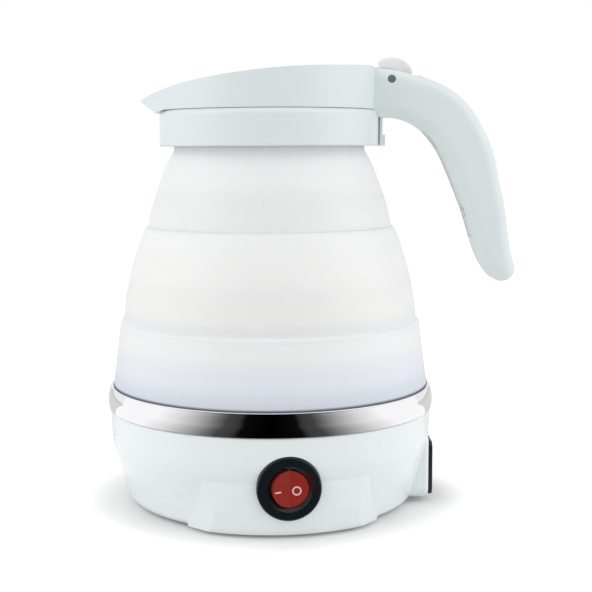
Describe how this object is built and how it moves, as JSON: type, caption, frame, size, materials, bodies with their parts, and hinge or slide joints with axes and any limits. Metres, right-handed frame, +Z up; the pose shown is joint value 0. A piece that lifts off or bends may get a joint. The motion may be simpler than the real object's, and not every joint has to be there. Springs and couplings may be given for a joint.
{
  "type": "collapsible electric kettle",
  "caption": "Collapsible electric travel kettle: silicone body of bands that fold flat, white base with steel ring, rocker switch and inlet, spout, handle and flip lid",
  "frame": {"origin": "centre of the foot ring's resting face, on the axis of the body", "axes": "+Z up along the body's axis, +X to the handle and the mains inlet, -X to the spout, -Y to the switch side"},
  "size_m": [0.1585, 0.1285, 0.1714],
  "materials": {
    "white_shell": "smooth white plastic",
    "white_matte": "plain white plastic",
    "white_silicone": "satin white silicone",
    "grey_rubber": "matt grey rubber",
    "polished_ring": "polished stainless steel",
    "brushed_pan": "drawn stainless steel",
    "bright_steel": "plain steel",
    "plain_aluminium": "bare aluminium",
    "black_plastic": "satin black plastic",
    "red_gloss": "clear red plastic",
    "clear_grey": "clear frosted plastic",
    "blade_brass": "plated brass"
  },
  "bodies": {
    "base": {"base_shell": "white_shell", "pan_carrier": "white_matte", "base_plate": "white_matte", "foot_ring": "grey_rubber", "base_screws": "bright_steel", "trim_ring": "polished_ring", "heating_pan": "brushed_pan", "pan_nuts": "bright_steel", "pan_seal": "white_silicone", "spreader_plate": "plain_aluminium", "heating_element": "plain_aluminium", "thermostat": "black_plastic", "thermal_fuse": "white_matte", "silicone_lower_band": "white_silicone", "silicone_lower_fold": "white_silicone", "switch_housing": "black_plastic", "switch_terminals": "blade_brass", "inlet_body": "black_plastic", "inlet_pins": "blade_brass"},
    "middle": {"silicone_middle_band": "white_silicone", "silicone_upper_fold": "white_silicone"},
    "top": {"silicone_neck_band": "white_silicone", "neck_ring": "white_matte", "collar": "white_shell", "handle_frame": "white_shell", "handle_liner": "white_matte", "handle_screws": "bright_steel", "hinge_pin": "bright_steel"},
    "lid": {"lid": "white_shell", "lid_liner": "white_matte", "lid_seal": "white_silicone", "lid_screws": "bright_steel"},
    "lever": {"release_lever": "clear_grey"},
    "rocker": {"switch_rocker": "red_gloss"}
  },
  "joints": [
    {"name": "middle_slide", "type": "slide", "parent": "base", "child": "middle", "axis": [0, 0, -1], "range_m": [0, 0.0355], "deforming": ["silicone_lower_fold"]},
    {"name": "top_slide", "type": "slide", "parent": "middle", "child": "top", "axis": [0, 0, -1], "range_m": [0, 0.029], "deforming": ["silicone_upper_fold"]},
    {"name": "lid_hinge", "type": "hinge", "parent": "top", "child": "lid", "pos_m": [0.0463, 0, 0.1628], "axis": [0, 1, 0], "range_deg": [0, 95]},
    {"name": "lever_hinge", "type": "hinge", "parent": "top", "child": "lever", "pos_m": [0.0463, 0, 0.1628], "axis": [0, 1, 0], "range_deg": [0, 8], "stiffness_Nm_per_rad": 0.05, "springref_deg": -8.59},
    {"name": "switch_rock", "type": "hinge", "parent": "base", "child": "rocker", "pos_m": [0.00639, -0.06076, 0.019], "axis": [0, 0, -1], "range_deg": [0, 20]}
  ],
  "couplings": [
    {"joint": "top_slide", "follows": "middle_slide", "ratio": 0.8169}
  ]
}
